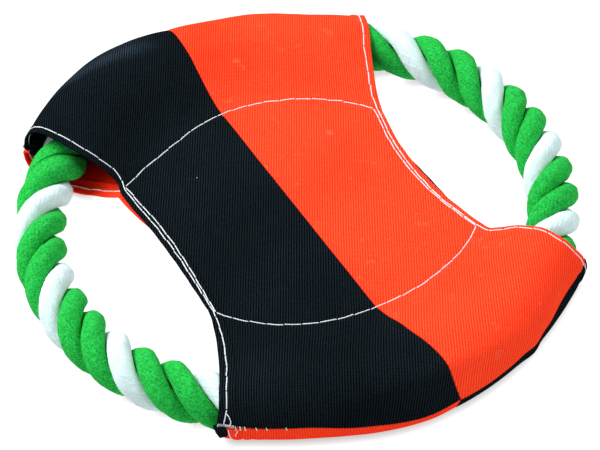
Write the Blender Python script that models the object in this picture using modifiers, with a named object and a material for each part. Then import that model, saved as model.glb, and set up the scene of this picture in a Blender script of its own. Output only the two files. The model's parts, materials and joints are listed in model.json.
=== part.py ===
"""Rope flying ring: a three-strand rope hoop that slides round inside a two-layer cloth cover.

Metres, +Z up.  The origin lies under the middle of the ring, on the surface that the ring rests on.
+Y runs along the centre seam of the cover, and +X points at the half that is orange on top.
"""
import math

import bmesh
import bpy
from mathutils import Matrix, Vector

MM = 0.001
OBJECT_NAME = "rope_flying_ring"

# Rope
RING_RADIUS = 100.0 * MM          # middle of the ring to the middle of the rope
STRAND_ORBIT = 5.8 * MM           # middle of the rope to the middle of a strand
STRAND_RADIUS = 4.15 * MM
ROPE_RADIUS = STRAND_ORBIT + STRAND_RADIUS
LAY_TURNS = 14                    # turns that a strand makes on its way round the ring
LAY_START = 0.165                 # turns, at the +X side
LAY_DRIFT = 0.315                 # turns, how far the hand-laid twist runs ahead and falls behind
LAY_DRIFT_ANGLE = math.radians(92.0)
POINTS_PER_TURN = 9

# Where the two ends of the rope meet, inside the near sleeve
SPLICE_ANGLE = math.radians(275.0)
SPLICE_GAP = 1.2 * MM
SPLICE_NECK = 0.9                 # the strands are pulled in to this share of their size
BINDING_LENGTH = 12.0 * MM
BINDING_WALL = 0.5 * MM
BINDING_CLEARANCE = 0.4 * MM
NECK_HALF_ANGLE = 0.5 * BINDING_LENGTH / RING_RADIUS + math.radians(1.5)
NECK_FADE_ANGLE = math.radians(4.0)

# Cloth cover
CLOTH = 0.8 * MM
ROPE_CLEARANCE = 1.25 * MM        # between the rope and the cloth under it, room for the hem thread
RING_HEIGHT = CLOTH + ROPE_CLEARANCE + ROPE_RADIUS
STITCH_RING = 63.5 * MM           # radius of the ring of stitches that closes the sleeves
OUTER_SEAM = 116.0 * MM
WAIST = 52.0 * MM                 # centre to the middle of a concave edge
EDGE_RADIUS = 137.0 * MM          # radius of a concave edge
EDGE_CENTRE = WAIST + EDGE_RADIUS
SEAM_GAP = 1.3 * MM               # between the black half and the orange half, for the seam thread
LAYER_GAP = 1.8 * MM              # between the two layers in the middle, for the seam allowances
FLAT_REST = RING_HEIGHT - 0.5 * CLOTH

# The sleeve's section: radius, then how far the top and the bottom layer stand off the ring's plane
LAYER_HALF = 0.5 * (LAYER_GAP + CLOTH)
SLEEVE_SECTION = (
    (STITCH_RING, LAYER_HALF, LAYER_HALF),
    (72.0 * MM, 5.6 * MM, 4.8 * MM),
    (82.0 * MM, 10.6 * MM, 8.6 * MM),
    (92.0 * MM, 13.8 * MM, FLAT_REST),
    (97.0 * MM, 14.3 * MM, FLAT_REST),
    (103.0 * MM, 14.1 * MM, FLAT_REST),
    (108.0 * MM, 12.2 * MM, FLAT_REST),
    (113.0 * MM, 7.0 * MM, 6.4 * MM),
    (OUTER_SEAM, 0.9 * MM, 0.9 * MM),
)
TOP = 1
BOTTOM = 2
CENTRE_ROWS = 5                   # rows of points between the two stitched arcs
PANEL_COLUMNS = 8                 # faces from the centre seam to the concave edge

# Thread
THREAD_RADIUS = 0.35 * MM
THREAD_LIFT = 0.5 * CLOTH + THREAD_RADIUS + 0.25 * MM
HEM_INSET = 2.5 * MM
RING_STITCH_INSET = 4.2 * MM
HEM_OUTER_RADIUS = 110.5 * MM
TACK_START_RADIUS = 112.3 * MM
TACK_ANGLE_IN = math.radians(1.4)
SEAM_THREAD_RADIUS = 115.5 * MM

# Colour, roughness
BLACK_CLOTH = ((0.012, 0.014, 0.017), 0.75)
ORANGE_CLOTH = ((0.95, 0.075, 0.022), 0.7)
WHITE_THREAD = ((0.82, 0.82, 0.84), 0.8)
GREEN_COTTON = ((0.02, 0.46, 0.12), 0.95)
WHITE_COTTON = ((0.80, 0.88, 0.90), 0.95)
BINDING_TAPE = ((0.62, 0.60, 0.55), 0.6)


def clear_scene():
    for item in list(bpy.data.objects):
        bpy.data.objects.remove(item, do_unlink=True)


def new_collection():
    parts = bpy.data.collections.new(OBJECT_NAME)
    bpy.context.scene.collection.children.link(parts)
    return parts


def make_material(name, finish):
    colour, roughness = finish
    material = bpy.data.materials.new(name)
    material.use_nodes = True
    shader = material.node_tree.nodes["Principled BSDF"]
    shader.inputs["Base Color"].default_value = (*colour, 1.0)
    shader.inputs["Roughness"].default_value = roughness
    shader.inputs["Metallic"].default_value = 0.0
    return material


def add_part(name, data, parent, finish, parts):
    part = bpy.data.objects.new(name, data)
    parts.objects.link(part)
    part.parent = parent
    data.materials.append(make_material(name, finish))
    return part


def tube_curve(name, points, radii, sides, closed):
    """A wire or strand: a straight-segment curve with a round bevel of 4, 6 or 8 sides."""
    curve = bpy.data.curves.new(name, "CURVE")
    curve.dimensions = "3D"
    curve.bevel_depth = max(radii)
    curve.bevel_resolution = (sides - 4) // 2
    curve.use_fill_caps = True
    spline = curve.splines.new("POLY")
    spline.points.add(len(points) - 1)
    spline.use_cyclic_u = closed
    for point, place, radius in zip(spline.points, points, radii):
        point.co = (*place, 1.0)
        point.radius = radius / curve.bevel_depth
    return curve


def polar(radius, angle, height):
    return Vector((radius * math.cos(angle), radius * math.sin(angle), height))


# ---------------------------------------------------------------- rope


def lay_angle(ring_angle):
    """Where the white strand sits in the rope's section: 0 is outward, a quarter turn is up."""
    drift = LAY_DRIFT * math.sin(ring_angle + LAY_DRIFT_ANGLE)
    turns = LAY_TURNS * ring_angle / math.tau + LAY_START + drift
    return -math.tau * turns


def neck(ring_angle):
    """Share of full size: 1 along the rope, less where the binding grips the two ends."""
    away = abs(math.remainder(ring_angle - SPLICE_ANGLE, math.tau))
    fade = min(max((away - NECK_HALF_ANGLE) / NECK_FADE_ANGLE, 0.0), 1.0)
    smooth = fade * fade * (3.0 - 2.0 * fade)
    return SPLICE_NECK + (1.0 - SPLICE_NECK) * smooth


def strand_point(ring_angle, turn_offset):
    section = lay_angle(ring_angle) + turn_offset
    orbit = STRAND_ORBIT * neck(ring_angle)
    return polar(RING_RADIUS + orbit * math.cos(section), ring_angle, orbit * math.sin(section))


def make_strand(name, index, pivot, finish, parts):
    half_gap = 0.5 * SPLICE_GAP / RING_RADIUS
    first = SPLICE_ANGLE + half_gap
    sweep = math.tau - 2.0 * half_gap
    steps = LAY_TURNS * POINTS_PER_TURN
    angles = [first + sweep * step / steps for step in range(steps + 1)]
    points = [strand_point(angle, math.tau * index / 3.0) for angle in angles]
    radii = [STRAND_RADIUS * neck(angle) for angle in angles]
    return add_part(name, tube_curve(name, points, radii, 6, False), pivot, finish, parts)


def make_binding(pivot, parts):
    """A short tube of tape round the two rope ends, lying along the rope."""
    bore = ROPE_RADIUS * SPLICE_NECK + BINDING_CLEARANCE
    mesh = bpy.data.meshes.new("rope_joint_binding")
    shape = bmesh.new()
    bmesh.ops.create_cone(
        shape, cap_ends=False, segments=20, radius1=bore, radius2=bore, depth=BINDING_LENGTH
    )
    shape.to_mesh(mesh)
    shape.free()
    mesh.shade_smooth()
    part = add_part("rope_joint_binding", mesh, pivot, BINDING_TAPE, parts)
    along_rope = Matrix.Rotation(SPLICE_ANGLE, 4, "Z") @ Matrix.Rotation(math.radians(90.0), 4, "X")
    part.matrix_local = Matrix.Translation(polar(RING_RADIUS, SPLICE_ANGLE, 0.0)) @ along_rope
    wall = part.modifiers.new("wall", "SOLIDIFY")
    wall.thickness = BINDING_WALL
    wall.offset = 1.0
    wall.use_even_offset = True
    return part


# ---------------------------------------------------------------- cloth cover


def section_height(radius, layer):
    """Distance from the ring's plane to the middle of the cloth, at this radius."""
    previous = SLEEVE_SECTION[0]
    if radius <= previous[0]:
        return previous[layer]
    for row in SLEEVE_SECTION[1:]:
        if radius <= row[0]:
            share = (radius - previous[0]) / (row[0] - previous[0])
            return previous[layer] + share * (row[layer] - previous[layer])
        previous = row
    return previous[layer]


def layer_sign(layer):
    return 1.0 if layer == TOP else -1.0


def edge_x(y, inset=0.0):
    """Distance from the centre seam to a line that runs at an inset inside the concave edge."""
    return EDGE_CENTRE - math.sqrt((EDGE_RADIUS + inset) ** 2 - y * y)


def edge_crossing(radius, inset=0.0):
    """Where a circle round the ring's centre meets that line, in the +X +Y quarter."""
    reach = EDGE_RADIUS + inset
    x = (radius ** 2 + EDGE_CENTRE ** 2 - reach ** 2) / (2.0 * EDGE_CENTRE)
    return x, math.sqrt(radius ** 2 - x * x)


def sleeve_row_point(radius, share):
    """A point on an arc of this radius, from the centre seam (0) to the concave edge (1)."""
    seam_angle = math.asin(0.5 * SEAM_GAP / radius)
    edge_angle = math.asin(edge_crossing(radius)[0] / radius)
    angle = seam_angle + share * (edge_angle - seam_angle)
    return radius * math.sin(angle), radius * math.cos(angle)


def centre_row_point(height_share, share):
    """A point on a row between the two stitched arcs; the rows flatten towards the waist."""
    edge_y = height_share * edge_crossing(STITCH_RING)[1]
    seam_y = height_share * STITCH_RING
    x = 0.5 * SEAM_GAP + share * (edge_x(edge_y) - 0.5 * SEAM_GAP)
    return x, edge_y + (seam_y - edge_y) * math.cos(share * math.pi / 2.0)


def panel_point(row, share, layer):
    """Row 0 is the near outer seam; the last row is the far outer seam."""
    sleeve_rows = len(SLEEVE_SECTION)
    last_row = 2 * sleeve_rows + CENTRE_ROWS - 1
    mirrored = last_row - row
    if min(row, mirrored) < sleeve_rows:
        section = SLEEVE_SECTION[sleeve_rows - 1 - min(row, mirrored)]
        x, y = sleeve_row_point(section[0], share)
        return x, y if row > mirrored else -y, section[layer]
    height_share = 2.0 * (row - sleeve_rows + 1) / (CENTRE_ROWS + 1) - 1.0
    x, y = centre_row_point(height_share, share)
    return x, y, LAYER_HALF


def make_panel(name, side, layer, root, finish, parts):
    """One quarter of the cover: a sheet from the centre seam to a concave edge, given its thickness."""
    rows = 2 * len(SLEEVE_SECTION) + CENTRE_ROWS - 1
    shape = bmesh.new()
    bmesh.ops.create_grid(shape, x_segments=PANEL_COLUMNS, y_segments=rows, size=1.0)
    for vertex in shape.verts:
        share = 0.5 * (vertex.co.x + 1.0)
        row = round(0.5 * (vertex.co.y + 1.0) * rows)
        x, y, stand_off = panel_point(row, share, layer)
        vertex.co = (side * x, y, RING_HEIGHT + layer_sign(layer) * stand_off)
    mesh = bpy.data.meshes.new(name)
    shape.to_mesh(mesh)
    shape.free()
    mesh.shade_smooth()
    part = add_part(name, mesh, root, finish, parts)
    cloth = part.modifiers.new("cloth", "SOLIDIFY")
    cloth.thickness = CLOTH
    cloth.offset = 0.0
    cloth.use_even_offset = True
    return part


# ---------------------------------------------------------------- thread


def on_cloth(x, y, layer, lift):
    """The point above a plan position that stands off the cloth's outer side by the lift."""
    radius = math.hypot(x, y)
    step = 0.5 * MM
    rise = section_height(radius + step, layer) - section_height(radius - step, layer)
    slope = rise / (2.0 * step)
    scale = lift / math.hypot(1.0, slope)
    outward = Vector((x, y)) / radius
    shift = -slope * scale
    stand_off = section_height(radius, layer) + scale
    height = RING_HEIGHT + layer_sign(layer) * stand_off
    return Vector((x + outward.x * shift, y + outward.y * shift, height))


def make_thread(name, points, closed, root, parts):
    radii = [THREAD_RADIUS] * len(points)
    return add_part(name, tube_curve(name, points, radii, 4, closed), root, WHITE_THREAD, parts)


def ring_stitch_plan():
    """The closed line of the ring stitch: two arcs joined by two runs beside the concave edges."""
    corner_x, corner_y = edge_crossing(STITCH_RING, RING_STITCH_INSET)
    corner_angle = math.asin(corner_x / STITCH_RING)
    arc_steps = 16
    run_steps = 8
    far_arc = []
    for step in range(arc_steps + 1):
        angle = corner_angle * (1.0 - 2.0 * step / arc_steps)
        far_arc.append((STITCH_RING * math.sin(angle), STITCH_RING * math.cos(angle)))
    left_run = []
    for step in range(1, run_steps):
        y = corner_y * (1.0 - 2.0 * step / run_steps)
        left_run.append((-edge_x(y, RING_STITCH_INSET), y))
    half = far_arc + left_run
    return half + [(-x, -y) for x, y in half]


def make_ring_stitch(name, layer, root, parts):
    points = []
    for x, y in ring_stitch_plan():
        height = RING_HEIGHT + layer_sign(layer) * (LAYER_HALF + THREAD_LIFT)
        points.append(Vector((x, y, height)))
    return make_thread(name, points, True, root, parts)


def hem_plan():
    """The +X hem line from near to far, with a point wherever the sleeve's section bends."""
    sleeve = [row[0] for row in SLEEVE_SECTION if row[0] < HEM_OUTER_RADIUS] + [HEM_OUTER_RADIUS]
    far = [edge_crossing(radius, HEM_INSET) for radius in sleeve]
    waist_steps = 6
    waist = []
    for step in range(1, waist_steps):
        y = far[0][1] * (2.0 * step / waist_steps - 1.0)
        waist.append((edge_x(y, HEM_INSET), y))
    near = [(x, -y) for x, y in reversed(far)]
    return near + waist + far


def make_hem_thread(name, side, layer, root, parts):
    """The line of stitches beside one concave edge: on the top layer outside, on the bottom inside."""
    lift = THREAD_LIFT if layer == TOP else -THREAD_LIFT
    points = [on_cloth(side * x, y, layer, lift) for x, y in hem_plan()]
    return make_thread(name, points, False, root, parts)


def make_outer_seam_thread(name, end, root, parts):
    """The seam that joins the two layers round the outside of one sleeve."""
    corner_x = edge_crossing(OUTER_SEAM)[0]
    half_angle = math.asin(corner_x / OUTER_SEAM) - math.radians(2.5)
    steps = 20
    points = []
    for step in range(steps + 1):
        angle = end * math.radians(90.0) + half_angle * (2.0 * step / steps - 1.0)
        points.append(polar(SEAM_THREAD_RADIUS, angle, RING_HEIGHT))
    return make_thread(name, points, False, root, parts)


def make_centre_seam_thread(name, layer, root, parts):
    """The seam between the black half and the orange half of one layer."""
    sleeve = [row[0] for row in reversed(SLEEVE_SECTION[:-1])]
    middle = [0.0]
    along = sleeve + middle + [-radius for radius in reversed(sleeve)]
    points = []
    for y in along:
        height = RING_HEIGHT + layer_sign(layer) * section_height(abs(y), layer)
        points.append(Vector((0.0, y, height)))
    return make_thread(name, points, False, root, parts)


def make_mouth_tack(name, side, end, root, parts):
    """The bar tack that wraps the seam at one corner of a sleeve's mouth."""
    corner_x, corner_y = edge_crossing(OUTER_SEAM)
    angle = math.asin(corner_x / OUTER_SEAM) - TACK_ANGLE_IN
    wrap = []
    for layer in (TOP, BOTTOM):
        half = []
        for radius in (TACK_START_RADIUS, 0.5 * (TACK_START_RADIUS + OUTER_SEAM), OUTER_SEAM):
            plan = (side * radius * math.sin(angle), end * radius * math.cos(angle))
            half.append(on_cloth(*plan, layer, THREAD_LIFT))
        wrap.append(half)
    tip = 1.5 * MM + OUTER_SEAM
    tip_point = Vector((side * tip * math.sin(angle), end * tip * math.cos(angle), RING_HEIGHT))
    points = wrap[0] + [tip_point] + wrap[1][::-1]
    return make_thread(name, points, False, root, parts)


# ---------------------------------------------------------------- the whole ring


def make_rope(parts):
    pivot = bpy.data.objects.new("rope_pivot", None)
    pivot.location = (0.0, 0.0, RING_HEIGHT)
    parts.objects.link(pivot)
    make_strand("rope_strand_white", 0, pivot, WHITE_COTTON, parts)
    make_strand("rope_strand_green_a", 1, pivot, GREEN_COTTON, parts)
    make_strand("rope_strand_green_b", 2, pivot, GREEN_COTTON, parts)
    make_binding(pivot, parts)


def make_cover(parts):
    root = bpy.data.objects.new("cover_root", None)
    parts.objects.link(root)
    make_panel("top_panel_black", -1, TOP, root, BLACK_CLOTH, parts)
    make_panel("top_panel_orange", 1, TOP, root, ORANGE_CLOTH, parts)
    make_panel("bottom_panel_orange", -1, BOTTOM, root, ORANGE_CLOTH, parts)
    make_panel("bottom_panel_black", 1, BOTTOM, root, BLACK_CLOTH, parts)
    make_ring_stitch("ring_stitch_top_thread", TOP, root, parts)
    make_ring_stitch("ring_stitch_bobbin_thread", BOTTOM, root, parts)
    make_hem_thread("hem_thread_top_black", -1, TOP, root, parts)
    make_hem_thread("hem_thread_top_orange", 1, TOP, root, parts)
    make_hem_thread("hem_thread_bottom_orange", -1, BOTTOM, root, parts)
    make_hem_thread("hem_thread_bottom_black", 1, BOTTOM, root, parts)
    make_outer_seam_thread("outer_seam_thread_far", 1, root, parts)
    make_outer_seam_thread("outer_seam_thread_near", -1, root, parts)
    make_centre_seam_thread("centre_seam_thread_top", TOP, root, parts)
    make_centre_seam_thread("centre_seam_thread_bottom", BOTTOM, root, parts)
    make_mouth_tack("mouth_tack_far_black", -1, 1, root, parts)
    make_mouth_tack("mouth_tack_far_orange", 1, 1, root, parts)
    make_mouth_tack("mouth_tack_near_black", -1, -1, root, parts)
    make_mouth_tack("mouth_tack_near_orange", 1, -1, root, parts)


clear_scene()
part_collection = new_collection()
make_rope(part_collection)
make_cover(part_collection)
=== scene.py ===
"""Looks for the rope flying ring: twisted cotton strands, sewn nylon cloth and white topstitching."""
import json
import math
from functools import partialmethod

import bmesh
import bpy
import numpy as np
from mathutils import Matrix, Vector


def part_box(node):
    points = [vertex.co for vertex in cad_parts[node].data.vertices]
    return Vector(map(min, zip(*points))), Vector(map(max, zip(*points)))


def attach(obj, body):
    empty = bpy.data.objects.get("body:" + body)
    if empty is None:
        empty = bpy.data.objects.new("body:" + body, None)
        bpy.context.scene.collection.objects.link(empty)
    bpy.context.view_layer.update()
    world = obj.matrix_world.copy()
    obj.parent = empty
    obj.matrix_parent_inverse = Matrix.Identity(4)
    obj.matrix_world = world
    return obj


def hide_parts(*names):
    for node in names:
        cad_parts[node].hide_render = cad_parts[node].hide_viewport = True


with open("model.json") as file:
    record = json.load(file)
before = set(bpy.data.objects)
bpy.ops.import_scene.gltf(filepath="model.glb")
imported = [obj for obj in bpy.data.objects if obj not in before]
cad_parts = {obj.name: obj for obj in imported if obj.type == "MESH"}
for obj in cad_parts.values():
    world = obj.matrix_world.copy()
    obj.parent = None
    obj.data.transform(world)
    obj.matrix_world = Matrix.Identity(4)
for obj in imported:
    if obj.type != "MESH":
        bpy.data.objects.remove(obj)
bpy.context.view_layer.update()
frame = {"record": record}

MM = 0.001
TOP, BOTTOM = 1, -1
FAR, NEAR = 1, -1
ORANGE_SIDE, BLACK_SIDE = 1, -1      # +X and -X, named for the top layer's colours

# -------- sizes read from the frame

RING_Z = frame["record"]["behaviour"]["joints"][0]["pos_m"][2]
strand_boxes = [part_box(name) for name in ("rope_strand_white", "rope_strand_green_a", "rope_strand_green_b")]
ROPE_R = max(0.5 * (high.z - low.z) for low, high in strand_boxes)
RING_R = max(high.x for low, high in strand_boxes) - ROPE_R
stitch_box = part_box("ring_stitch_top_thread")
STITCH_R = stitch_box[1].y - 0.35 * MM
splice_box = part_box("rope_joint_binding")
splice_middle = 0.5 * (splice_box[0] + splice_box[1])
SPLICE_ANGLE = math.atan2(splice_middle.y, splice_middle.x)

CLOTH = 0.45 * MM
HEM_FOLD = 0.25 * MM                 # radius of a turned edge
HEM_DEPTH = 5.5 * MM
SEAM_TURN = 0.35 * MM                # radius where a seam's allowance turns in
SEAM_INSET = SEAM_TURN + 0.5 * CLOTH
STITCH_PITCH = 6.5 * MM
SEAM_PITCH = 3.0 * MM
THREAD_R = 0.2 * MM
THREAD_LIFT = 0.5 * CLOTH + 0.55 * THREAD_R
SEAM_LIFT = 0.1 * MM
UNSEEN_ROWS = 50                     # of a centre seam: its far end closes over its thread


# -------- small helpers


def smooth(x):
    x = np.clip(x, 0.0, 1.0)
    return x * x * (3.0 - 2.0 * x)


def bell(x, width):
    return np.exp(-((x / width) ** 2))


def unit(vectors):
    return vectors / (np.linalg.norm(vectors, axis=-1, keepdims=True) + 1e-12)


def read_path(path, distance, at):
    """Points of a path at distances along it."""
    return np.stack([np.interp(at, distance, path[:, k]) for k in range(3)], axis=1)


def ripples(x, y, seed, wavelength, waves=7):
    """A smooth random field between about -1 and 1: a few plane waves with seeded directions."""
    source = np.random.default_rng(seed)
    total = np.zeros(np.broadcast(x, y).shape)
    for _ in range(waves):
        heading = source.uniform(0.0, math.tau)
        phase = source.uniform(0.0, math.tau)
        number = math.tau / (wavelength * source.uniform(0.7, 1.5))
        total += np.sin(number * (x * math.cos(heading) + y * math.sin(heading)) + phase)
    return total / math.sqrt(waves)


def through_points(points, t):
    """Catmull-Rom curve through control points of shape (count, columns, k), read at each t in 0..1."""
    last = len(points) - 1
    position = np.clip(t, 0.0, 1.0) * last
    index = np.minimum(position.astype(int), last - 1)
    part = (position - index)[:, None, None]
    longer = np.concatenate([2 * points[:1] - points[1:2], points, 2 * points[-1:] - points[-2:-1]])
    before, p1, p2, after = (longer[index + k] for k in range(4))
    return 0.5 * (
        2 * p1
        + (p2 - before) * part
        + (2 * before - 5 * p1 + 4 * p2 - after) * part**2
        + (3 * p1 - before - 3 * p2 + after) * part**3
    )


def grid_normals(points, outward):
    """Unit normals of a grid of points, turned to the side that outward (+1 or -1) says is up."""
    along = np.gradient(points, axis=0)
    across = np.gradient(points, axis=1)
    normals = unit(np.cross(across, along))
    middle = normals[normals.shape[0] // 2, normals.shape[1] // 2, 2]
    return normals * (outward if middle > 0 else -outward)


def quad_mesh(name, points, quads):
    mesh = bpy.data.meshes.new(name)
    mesh.vertices.add(points.size // 3)
    mesh.vertices.foreach_set("co", points.reshape(-1).astype(np.float32))
    mesh.loops.add(quads.size)
    mesh.loops.foreach_set("vertex_index", quads.reshape(-1).astype(np.int32))
    mesh.polygons.add(len(quads))
    mesh.polygons.foreach_set("loop_start", np.arange(0, quads.size, 4, dtype=np.int32))
    mesh.update(calc_edges=True)
    return mesh


def mesh_from_grid(name, points, close_across=False, attributes=None, uv=None):
    """A quad mesh through a grid of points; close_across joins the last column to the first."""
    rows, columns = points.shape[:2]
    index = np.arange(rows * columns).reshape(rows, columns)
    right = np.roll(index, -1, axis=1) if close_across else index[:, 1:]
    left = index if close_across else index[:, :-1]
    quads = np.stack([left[:-1], right[:-1], right[1:], left[1:]], axis=-1).reshape(-1, 4)
    mesh = quad_mesh(name, points, quads)
    for key, values in (attributes or {}).items():
        layer = mesh.attributes.new(key, "FLOAT", "POINT")
        layer.data.foreach_set("value", values.reshape(-1).astype(np.float32))
    if uv is not None:
        layer = mesh.uv_layers.new(name="cloth")
        layer.data.foreach_set("uv", uv.reshape(-1, 2)[quads.reshape(-1)].reshape(-1).astype(np.float32))
    mesh.validate()
    return mesh


def add_object(name, data):
    thing = bpy.data.objects.new(name, data)
    bpy.context.scene.collection.objects.link(thing)
    return thing


slots = {}                           # each material's slot: its own name can get a number added


def add_piece(name, mesh, body, material, nodes=()):
    piece = add_object(name, mesh)
    mesh.materials.clear()
    mesh.materials.append(material)
    mesh.shade_smooth()
    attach(piece, body)
    if nodes:
        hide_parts(*nodes)
    return piece


def thicken(piece, thickness, offset=0.0):
    wall = piece.modifiers.new("wall", "SOLIDIFY")
    wall.thickness = thickness
    wall.offset = offset


# -------- materials


class Nodes:
    """Short calls for building one material's node tree."""

    def __init__(self, name, slot=None):
        self.material = bpy.data.materials.new(name)
        slots[self.material.name] = slot or name
        self.material.use_nodes = True
        self.tree = self.material.node_tree
        self.shader = self.tree.nodes["Principled BSDF"]

    def put(self, target, value):
        """Feeds an input, or the shader's input of that name, from a socket, a number or a colour."""
        target = self.shader.inputs[target] if isinstance(target, str) else target
        if hasattr(value, "is_linked"):
            self.tree.links.new(value, target)
        else:
            target.default_value = (*value, 1.0) if isinstance(value, tuple) else value

    def add(self, kind, inputs=None, **settings):
        node = self.tree.nodes.new(kind)
        for key, value in settings.items():
            setattr(node, key, value)
        for key, value in (inputs or {}).items():
            self.put(node.inputs[key], value)
        return node

    def math(self, operation, a, b=0.0, clamp=False):
        return self.add("ShaderNodeMath", {0: a, 1: b}, operation=operation, use_clamp=clamp).outputs[0]

    plus = partialmethod(math, "ADD")
    minus = partialmethod(math, "SUBTRACT")
    times = partialmethod(math, "MULTIPLY")
    over = partialmethod(math, "DIVIDE")

    def spot(self):
        return self.add("ShaderNodeTexCoord").outputs["Object"]

    def openness(self, distance, samples):
        near = self.add("ShaderNodeAmbientOcclusion", {"Distance": distance}, samples=samples)
        return near.outputs["AO"]

    def noise(self, vector, scale, detail=2.0, roughness=0.5):
        inputs = {"Vector": vector, "Scale": scale, "Detail": detail, "Roughness": roughness}
        return self.add("ShaderNodeTexNoise", inputs).outputs["Fac"]

    def mix(self, factor, a, b):
        inputs = {"Factor": factor, "A": a, "B": b}
        return self.add("ShaderNodeMix", inputs, data_type="RGBA").outputs["Result"]

    def bump(self, height, strength, distance, normal=None):
        inputs = {"Height": height, "Strength": strength, "Distance": distance}
        if normal is not None:
            inputs["Normal"] = normal
        return self.add("ShaderNodeBump", inputs).outputs["Normal"]


RIB_ANGLE = math.radians(28.6)       # the cloth's ribs, clockwise from the centre seam
RIB_PITCH = 1.0 * MM
PICK_PITCH = 0.62 * MM


def painted_highlight_band(n, spot):
    """How far a point is on the painted highlight of the far black sleeve: a streak along its crest and a
    paler part beyond it, fading out towards the centre seam.
    """
    split = n.add("ShaderNodeSeparateXYZ", {0: spot}).outputs
    off = n.over(n.minus(split["Y"], 99.5 * MM), 5.0 * MM)
    streak = n.minus(1.0, n.times(off, off), clamp=True)
    streak = n.times(streak, streak)
    behind = n.over(n.minus(split["Y"], 93.0 * MM), 10.0 * MM, clamp=True)
    glow = n.plus(n.times(streak, 0.55), n.times(behind, 0.32))
    return n.times(glow, n.over(n.minus(-8.0 * MM, split["X"]), 12.0 * MM, clamp=True))


def nylon(name, valley, crest, roughness, blemish=None, painted_highlight_colour=None, enclosed_shade=None):
    """Coated nylon cloth with fine ribs one way and finer yarns the other way, with an optional painted
    highlight and optional painted shade where the cloth is closed in.
    """
    n = Nodes(name)
    uv = n.add("ShaderNodeUVMap", uv_map="cloth").outputs["UV"]
    turn = n.add("ShaderNodeVectorRotate", {"Vector": uv, "Angle": RIB_ANGLE}, rotation_type="Z_AXIS")
    split = n.add("ShaderNodeSeparateXYZ", {0: turn.outputs["Vector"]}).outputs
    spot = n.spot()
    wander = n.times(n.minus(n.noise(spot, 60.0), 0.5), 0.35 * MM)
    rib = n.math("SINE", n.times(n.plus(split["X"], wander), math.tau / RIB_PITCH))
    pick = n.math("SINE", n.times(split["Y"], math.tau / PICK_PITCH))
    weave = n.plus(n.plus(n.times(rib, 0.42), n.times(pick, 0.16)), 0.46)
    speckle = n.minus(n.noise(spot, 1400.0, 2.0, 0.7), 0.5)
    tone = n.plus(weave, n.times(speckle, 0.9), clamp=True)
    broad = n.noise(spot, 22.0, 3.0, 0.6)
    # Painted highlight: the crest colour is lightened along the far black sleeve's crest.
    if painted_highlight_colour:
        crest = n.mix(painted_highlight_band(n, spot), crest, painted_highlight_colour)
    shade = tuple(0.8 * channel for channel in valley)
    wash = n.times(n.minus(0.62, broad, clamp=True), 0.9)
    colour = n.mix(wash, n.mix(tone, valley, crest), shade)
    if blemish:
        rubbed = n.minus(n.noise(spot, 130.0, 5.0, 0.65), 0.62, clamp=True)
        colour = n.mix(n.times(rubbed, 4.0, clamp=True), colour, blemish)
    # Painted shade: where ambient occlusion finds the cloth closed in, as inside the mouths, the colour turns
    # deep red.
    if enclosed_shade:
        closed = n.minus(0.6, n.openness(25.0 * MM, 6), clamp=True)
        colour = n.mix(n.times(closed, 2.5, clamp=True), colour, enclosed_shade)
    n.put("Base Color", colour)
    n.put("Roughness", n.plus(n.times(broad, 0.16), roughness - 0.08))
    n.put("Specular IOR Level", 0.0)
    creases = n.bump(n.noise(spot, 90.0, 3.0, 0.55), 0.10, 2.0 * MM)
    n.put("Normal", n.bump(weave, 0.5, 0.16 * MM, creases))
    return n.material


def cotton(name, deep, bright, fleck, sheen_tint, sheen, groove_shade):
    """Soft cotton strand: the yarn ridges come from the mesh, with painted shade darkening the hollows between
    them; hairs and mottling come from noise.
    """
    n = Nodes(name)
    spot = n.spot()
    groove = n.add("ShaderNodeAttribute", attribute_name="yarn").outputs["Fac"]
    mottle = n.noise(spot, 420.0, 4.0, 0.7)
    fibre = n.noise(spot, 1500.0, 3.0, 0.8)
    # Painted shade: colour darkens between the yarn ridges, more on the white strand.
    tone = n.plus(n.times(groove, groove_shade), n.times(mottle, 0.8))
    tone = n.plus(tone, n.times(n.minus(fibre, 0.5), 2.2), clamp=True)
    flecks = n.times(n.minus(fibre, 0.62, clamp=True), 3.5, clamp=True)
    n.put("Base Color", n.mix(flecks, n.mix(tone, deep, bright), fleck))
    n.put("Roughness", 0.95)
    n.put("Specular IOR Level", 0.05)
    n.put("Sheen Weight", sheen)
    n.put("Sheen Roughness", 0.6)
    n.put("Sheen Tint", sheen_tint)
    n.put("Normal", n.bump(fibre, 0.6, 0.16 * MM, n.bump(mottle, 0.45, 0.6 * MM)))
    return n.material


def fuzz_material(name, slot, colour):
    n = Nodes(name, slot)
    n.put("Base Color", colour)
    n.put("Roughness", 1.0)
    n.put("Specular IOR Level", 0.0)
    return n.material


def woven(name, dark, light, noise, roughness, bump, sheen=0.0):
    """Plain white yarn or tape: one noise for both its tone and its bumps."""
    n = Nodes(name)
    fibre = n.noise(n.spot(), *noise)
    n.put("Base Color", n.mix(fibre, dark, light))
    n.put("Roughness", roughness)
    n.put("Sheen Weight", sheen)
    n.put("Normal", n.bump(fibre, *bump))
    return n.material


# The last colour is a painted highlight along the far black sleeve's crest.
black_nylon = nylon(
    "black_nylon", (0.0001, 0.0002, 0.0004), (0.0118, 0.0185, 0.0235), 0.5, painted_highlight_colour=(0.036, 0.056, 0.080)
)
orange_nylon = nylon(
    "orange_nylon", (0.89, 0.020, 0.004), (0.97, 0.096, 0.036), 0.60,
    # The last colour is painted shade, deep red where the cloth is closed in.
    blemish=(0.92, 0.15, 0.08), enclosed_shade=(0.98, 0.012, 0.002),
)
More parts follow.
